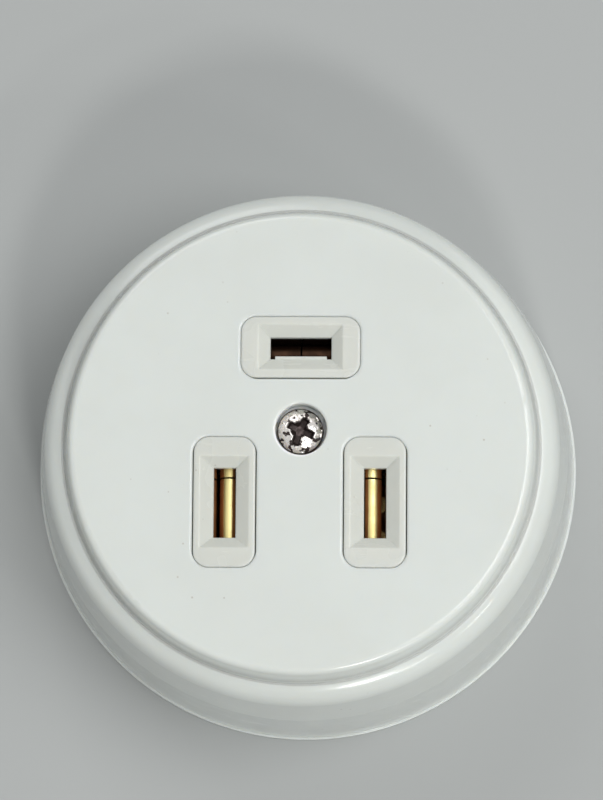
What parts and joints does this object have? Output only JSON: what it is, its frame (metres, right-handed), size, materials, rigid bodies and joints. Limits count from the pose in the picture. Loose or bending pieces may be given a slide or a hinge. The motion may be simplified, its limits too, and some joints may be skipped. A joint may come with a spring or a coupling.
{
  "type": "electrical socket",
  "caption": "Round surface-mounted power socket with slots for flat blades in moulded contact towers under a screwed cover.",
  "frame": {"origin": "centre of the back face, which lies on the wall or on a table", "axes": "+Z out of the front face, +Y towards the earth slot, +X towards the neutral slot"},
  "size_m": [0.0936, 0.0936, 0.038],
  "materials": {
    "cover_white": "glossy white",
    "block_white": "satin off-white",
    "base_white": "matt off-white",
    "nickel": "worn nickel plate",
    "zinc_steel": "zinc plate",
    "spring_steel": "spring steel",
    "brass": "bright brass"
  },
  "bodies": {
    "root": {"cover": "cover_white", "base_plate": "base_white", "contact_block": "block_white", "cover_screw": "nickel", "cover_nut": "zinc_steel", "block_screw_left": "zinc_steel", "block_screw_right": "zinc_steel", "live_contact": "brass", "live_spring_band": "spring_steel", "live_terminal_bar": "brass", "live_rivets": "brass", "live_clamp_plate": "zinc_steel", "live_lock_washer": "spring_steel", "live_terminal_screw": "nickel", "neutral_contact": "brass", "neutral_spring_band": "spring_steel", "neutral_terminal_bar": "brass", "neutral_rivets": "brass", "neutral_clamp_plate": "zinc_steel", "neutral_lock_washer": "spring_steel", "neutral_terminal_screw": "nickel", "earth_contact": "brass", "earth_spring_band": "spring_steel", "earth_terminal_bar": "brass", "earth_rivets": "brass", "earth_clamp_plate": "zinc_steel", "earth_lock_washer": "spring_steel", "earth_terminal_screw": "nickel"}
  },
  "joints": []
}
